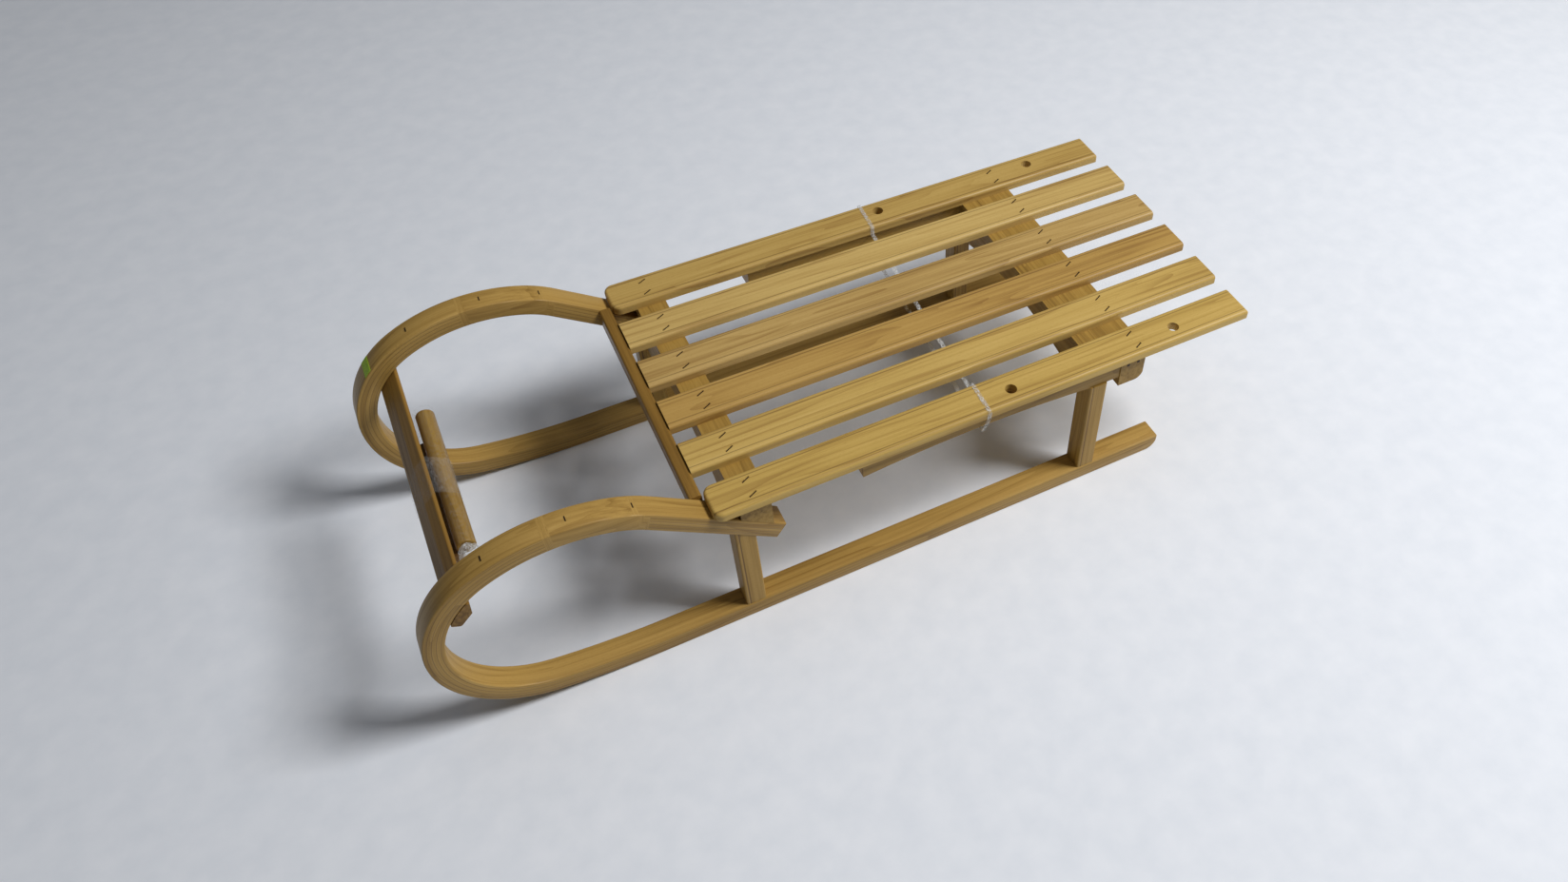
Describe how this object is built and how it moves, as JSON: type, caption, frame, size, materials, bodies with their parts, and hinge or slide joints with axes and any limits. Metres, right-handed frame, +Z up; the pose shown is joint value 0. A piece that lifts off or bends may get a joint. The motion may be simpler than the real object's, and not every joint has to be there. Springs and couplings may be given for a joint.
{
  "type": "wooden horned sledge",
  "caption": "Slatted wooden sledge on two laminated runners that curve up and back as horns, joined by a pull bar; seat on four legs and cross boards.",
  "frame": {"origin": "on the floor, midway along the length and midway between the runners", "axes": "+X forward towards the horns, +Y to the sledge's left, +Z up"},
  "size_m": [0.991, 0.3868, 0.2747],
  "materials": {
    "bent_beech": "lacquered bent laminated beech, satin",
    "slat_beech": "lacquered beech, satin",
    "frame_beech": "lacquered beech, satin",
    "dowel_beech": "turned beech, sanded",
    "staple_steel": "darkened wire",
    "clear_film": "clear polyethylene film",
    "crumpled_film": "crumpled clear film",
    "clear_strap": "clear stretch strap",
    "lime_sticker": "plain paper sticker"
  },
  "bodies": {
    "root": {"accessory_bag": "clear_film", "board_nails": "staple_steel", "fittings_pouch": "crumpled_film", "front_batten": "frame_beech", "front_bearer": "frame_beech", "front_staples": "staple_steel", "horn_staples": "staple_steel", "left_front_leg": "frame_beech", "left_rear_leg": "frame_beech", "left_runner": "bent_beech", "left_side_rail": "frame_beech", "leg_dowels": "dowel_beech", "packing_strap": "clear_strap", "pull_bar": "frame_beech", "rear_bearer": "frame_beech", "rear_cross_board": "frame_beech", "rear_staples": "staple_steel", "right_front_leg": "frame_beech", "right_rear_leg": "frame_beech", "right_runner": "bent_beech", "right_side_rail": "frame_beech", "seat_slat_1": "slat_beech", "seat_slat_2": "slat_beech", "seat_slat_3": "slat_beech", "seat_slat_4": "slat_beech", "seat_slat_5": "slat_beech", "seat_slat_6": "slat_beech", "spare_dowel": "dowel_beech", "spare_peg": "dowel_beech", "sticker": "lime_sticker", "stretch_wrap": "clear_film"}
  },
  "joints": []
}
